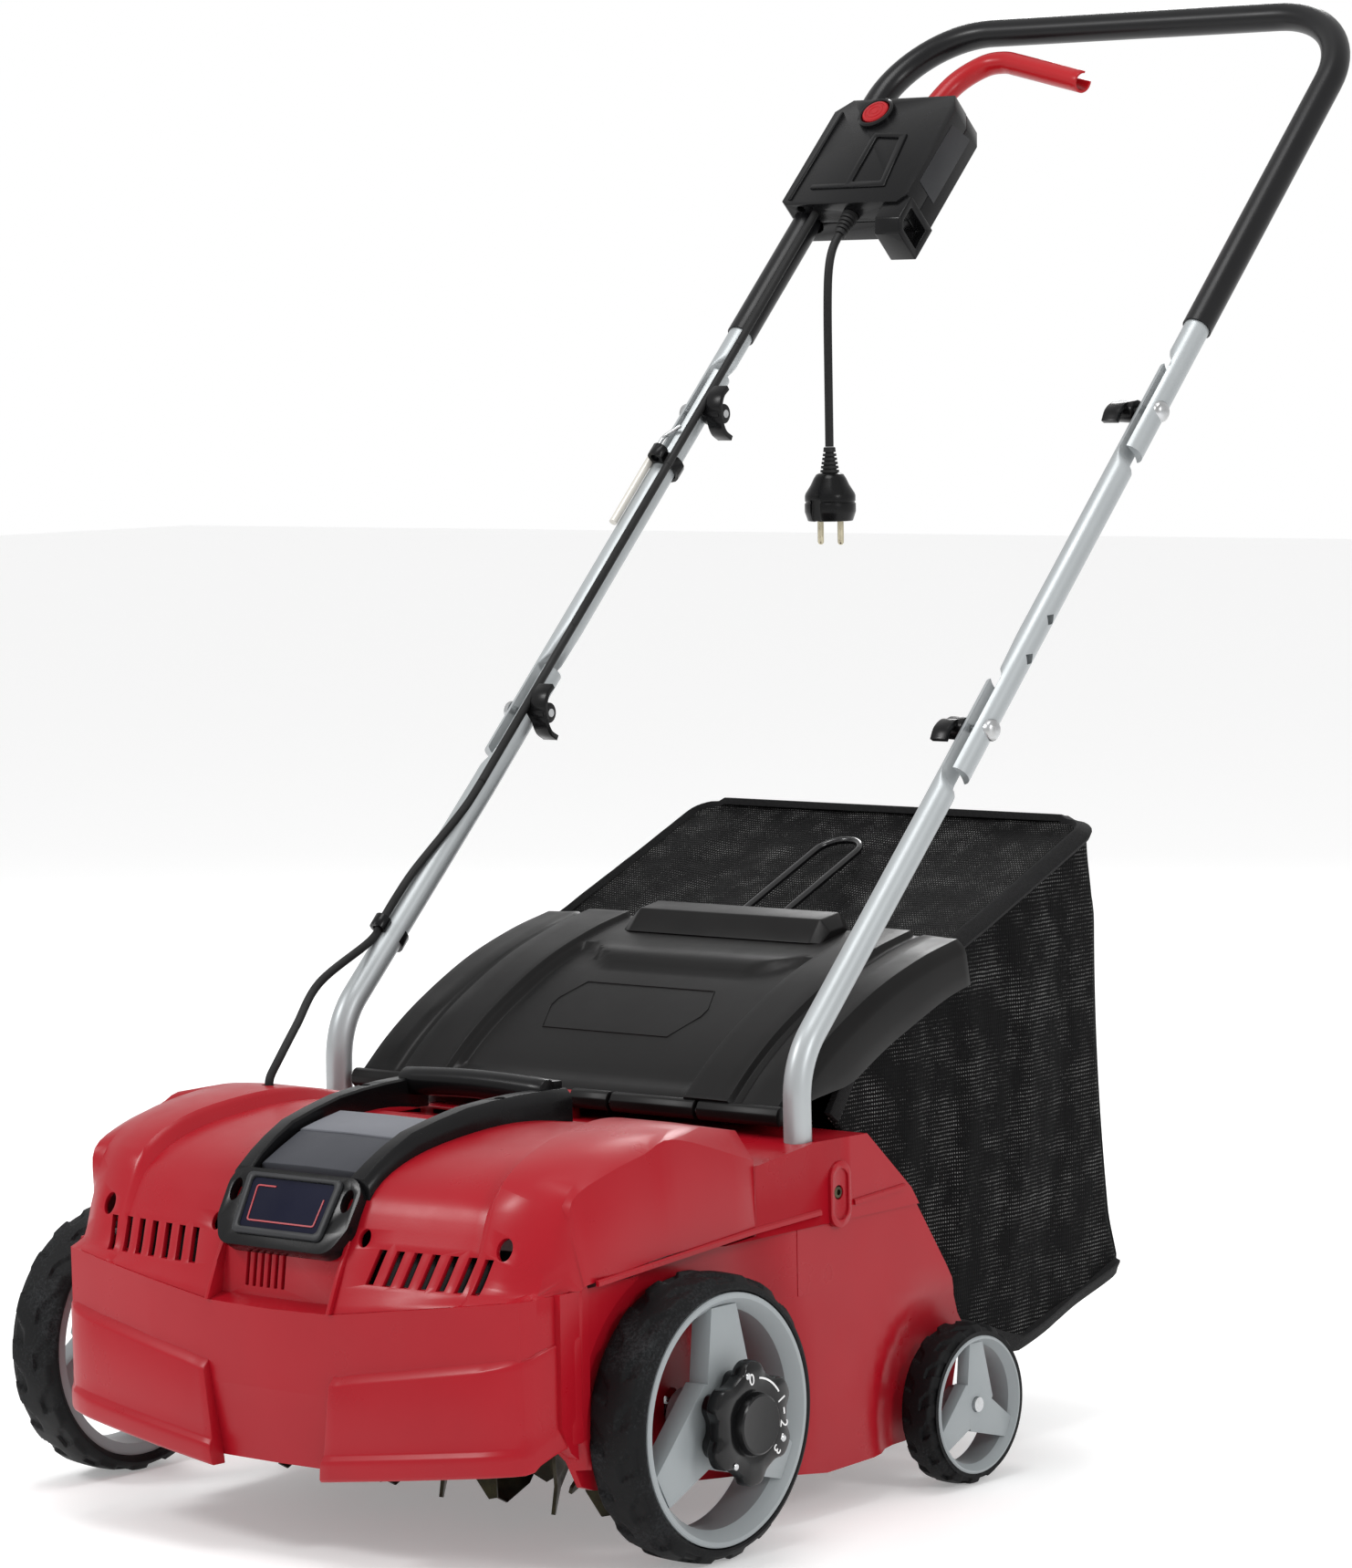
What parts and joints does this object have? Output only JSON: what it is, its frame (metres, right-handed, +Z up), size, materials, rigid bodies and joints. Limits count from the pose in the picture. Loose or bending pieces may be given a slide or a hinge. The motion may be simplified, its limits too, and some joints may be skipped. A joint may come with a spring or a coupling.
{
  "type": "lawn dethatcher",
  "caption": "Electric lawn dethatcher with a red moulded housing, tined roller, depth dial, folding push handle, switch box and rear mesh bag.",
  "frame": {"origin": "on the ground, under the middle of the bounding box of the machine without its free mains lead and plug", "axes": "+Z up, -Y is the direction of travel (front), +Y is where the handle leans back, +X is the side with the depth dial"},
  "size_m": [0.592, 1.0032, 1.0134],
  "materials": {
    "red_plastic": "satin moulded plastic, fine grain",
    "red_control": "glossy moulded plastic",
    "black_plastic": "satin moulded plastic",
    "slate_plastic": "satin moulded plastic",
    "badge": "blank glossy plate",
    "rim_grey": "satin moulded plastic",
    "tyre_rubber": "matte rubber with moulded pockets",
    "tube_silver": "silver powder coat",
    "grip_black": "smooth black sleeve",
    "bag_mesh": "woven mesh with sewn tape edges",
    "black_wire": "black coated wire",
    "cable_rubber": "satin cable jacket",
    "steel": "bright zinc",
    "dark_steel": "dark steel"
  },
  "bodies": {
    "chassis": {"deck_shell": "red_plastic", "hood": "red_plastic", "carry_handle": "black_plastic", "carry_panel": "slate_plastic", "badge_plate": "badge", "flap_hinge_pin": "steel", "motor_housing": "dark_steel", "drive_belt": "cable_rubber", "roller_bearing_left": "steel", "roller_bearing_right": "steel", "rear_axle": "steel", "deck_screw_left": "steel", "deck_screw_right": "steel", "lower_tube_left": "tube_silver", "lower_tube_right": "tube_silver", "lower_bolt_left": "steel", "lower_bolt_right": "steel", "cable_clip_lower": "black_plastic", "motor_lead_lower": "cable_rubber"},
    "flap": {"rear_flap": "black_plastic"},
    "bag_unit": {"bag": "bag_mesh", "bag_frame": "black_wire", "bag_handle": "black_wire"},
    "motor_shaft": {"motor_rotor": "steel", "motor_pulley": "steel"},
    "roller": {"tine_roller": "dark_steel", "roller_pulley": "black_plastic"},
    "axle": {"front_axle": "steel", "hub_cap": "black_plastic"},
    "dial": {"depth_dial": "black_plastic"},
    "front_wheel_left": {"front_rim_left": "rim_grey", "front_tyre_left": "tyre_rubber"},
    "front_wheel_right": {"front_rim_right": "rim_grey", "front_tyre_right": "tyre_rubber"},
    "rear_wheel_left": {"rear_rim_left": "rim_grey", "rear_tyre_left": "tyre_rubber"},
    "rear_wheel_right": {"rear_rim_right": "rim_grey", "rear_tyre_right": "tyre_rubber"},
    "middle_handle": {"middle_tube_left": "tube_silver", "middle_tube_right": "tube_silver", "upper_bolt_left": "steel", "upper_bolt_right": "steel", "cable_clip_upper": "black_plastic", "motor_lead_middle": "cable_rubber"},
    "top_handle": {"upper_handle": "tube_silver", "grip_cover": "grip_black", "switch_box_front": "black_plastic", "switch_box_back": "black_plastic", "switch_block": "slate_plastic", "cord_hook": "black_plastic", "strain_relief": "cable_rubber", "mains_lead": "cable_rubber", "mains_plug": "cable_rubber", "motor_lead_upper": "cable_rubber"},
    "lever": {"switch_lever": "red_control"},
    "button": {"safety_button": "red_control"},
    "nut_lower_left": {"lower_nut_left": "black_plastic"},
    "nut_lower_right": {"lower_nut_right": "black_plastic"},
    "nut_upper_left": {"upper_nut_left": "black_plastic"},
    "nut_upper_right": {"upper_nut_right": "black_plastic"}
  },
  "joints": [
    {"name": "axle_lift", "type": "slide", "parent": "chassis", "child": "axle", "axis": [0, 0, 1], "range_m": [0, 0.008]},
    {"name": "dial_turn", "type": "hinge", "parent": "axle", "child": "dial", "pos_m": [0.283, -0.34459, 0.092], "axis": [1, 0, 0], "range_deg": [0, 135]},
    {"name": "roller_spin", "type": "hinge", "parent": "chassis", "child": "roller", "pos_m": [0.021, -0.30659, 0.074], "axis": [1, 0, 0], "continuous": true},
    {"name": "motor_spin", "type": "hinge", "parent": "chassis", "child": "motor_shaft", "pos_m": [0.021, -0.38259, 0.2245], "axis": [1, 0, 0], "continuous": true},
    {"name": "front_wheel_spin_left", "type": "hinge", "parent": "axle", "child": "front_wheel_left", "pos_m": [-0.263, -0.34459, 0.092], "axis": [1, 0, 0], "continuous": true},
    {"name": "front_wheel_spin_right", "type": "hinge", "parent": "axle", "child": "front_wheel_right", "pos_m": [0.248, -0.34459, 0.092], "axis": [1, 0, 0], "continuous": true},
    {"name": "rear_wheel_spin_left", "type": "hinge", "parent": "chassis", "child": "rear_wheel_left", "pos_m": [-0.202, -0.05959, 0.0544], "axis": [1, 0, 0], "continuous": true},
    {"name": "rear_wheel_spin_right", "type": "hinge", "parent": "chassis", "child": "rear_wheel_right", "pos_m": [0.244, -0.05959, 0.0544], "axis": [1, 0, 0], "continuous": true},
    {"name": "flap_lift", "type": "hinge", "parent": "chassis", "child": "flap", "pos_m": [0.021, -0.20659, 0.262], "axis": [1, 0, 0], "range_deg": [0, 60]},
    {"name": "bag_pull", "type": "slide", "parent": "chassis", "child": "bag_unit", "axis": [0, 1, 0], "range_m": [0, 0.15]},
    {"name": "lower_fold", "type": "hinge", "parent": "chassis", "child": "middle_handle", "pos_m": [0.021, -0.00259, 0.504], "axis": [1, 0, 0], "range_deg": [0, 140], "deforming": ["motor_lead_middle"]},
    {"name": "upper_fold", "type": "hinge", "parent": "middle_handle", "child": "top_handle", "pos_m": [0.021, 0.20562, 0.7144], "axis": [1, 0, 0], "range_deg": [-95, 0], "deforming": ["motor_lead_middle", "motor_lead_upper"]},
    {"name": "lever_squeeze", "type": "hinge", "parent": "top_handle", "child": "lever", "pos_m": [-0.129, 0.4089, 0.91982], "axis": [0, -0.7108, 0.7034], "range_deg": [0, 12], "stiffness_Nm_per_rad": 1.5, "springref_deg": -8.59},
    {"name": "button_press", "type": "slide", "parent": "top_handle", "child": "button", "axis": [0, 0.7108, -0.7034], "range_m": [0, 0.004], "stiffness_N_per_m": 400, "springref_m": -0.002},
    {"name": "lower_nut_turn_left", "type": "hinge", "parent": "chassis", "child": "nut_lower_left", "pos_m": [-0.165, -0.00259, 0.504], "axis": [1, 0, 0], "continuous": true},
    {"name": "lower_nut_turn_right", "type": "hinge", "parent": "chassis", "child": "nut_lower_right", "pos_m": [0.207, -0.00259, 0.504], "axis": [1, 0, 0], "continuous": true},
    {"name": "upper_nut_turn_left", "type": "hinge", "parent": "middle_handle", "child": "nut_upper_left", "pos_m": [-0.165, 0.20562, 0.7144], "axis": [1, 0, 0], "continuous": true},
    {"name": "upper_nut_turn_right", "type": "hinge", "parent": "middle_handle", "child": "nut_upper_right", "pos_m": [0.207, 0.20562, 0.7144], "axis": [1, 0, 0], "continuous": true}
  ],
  "couplings": [
    {"joint": "motor_spin", "follows": "roller_spin", "ratio": 2.8333},
    {"joint": "dial_turn", "follows": "axle_lift", "rad_per_m": 294.5}
  ]
}
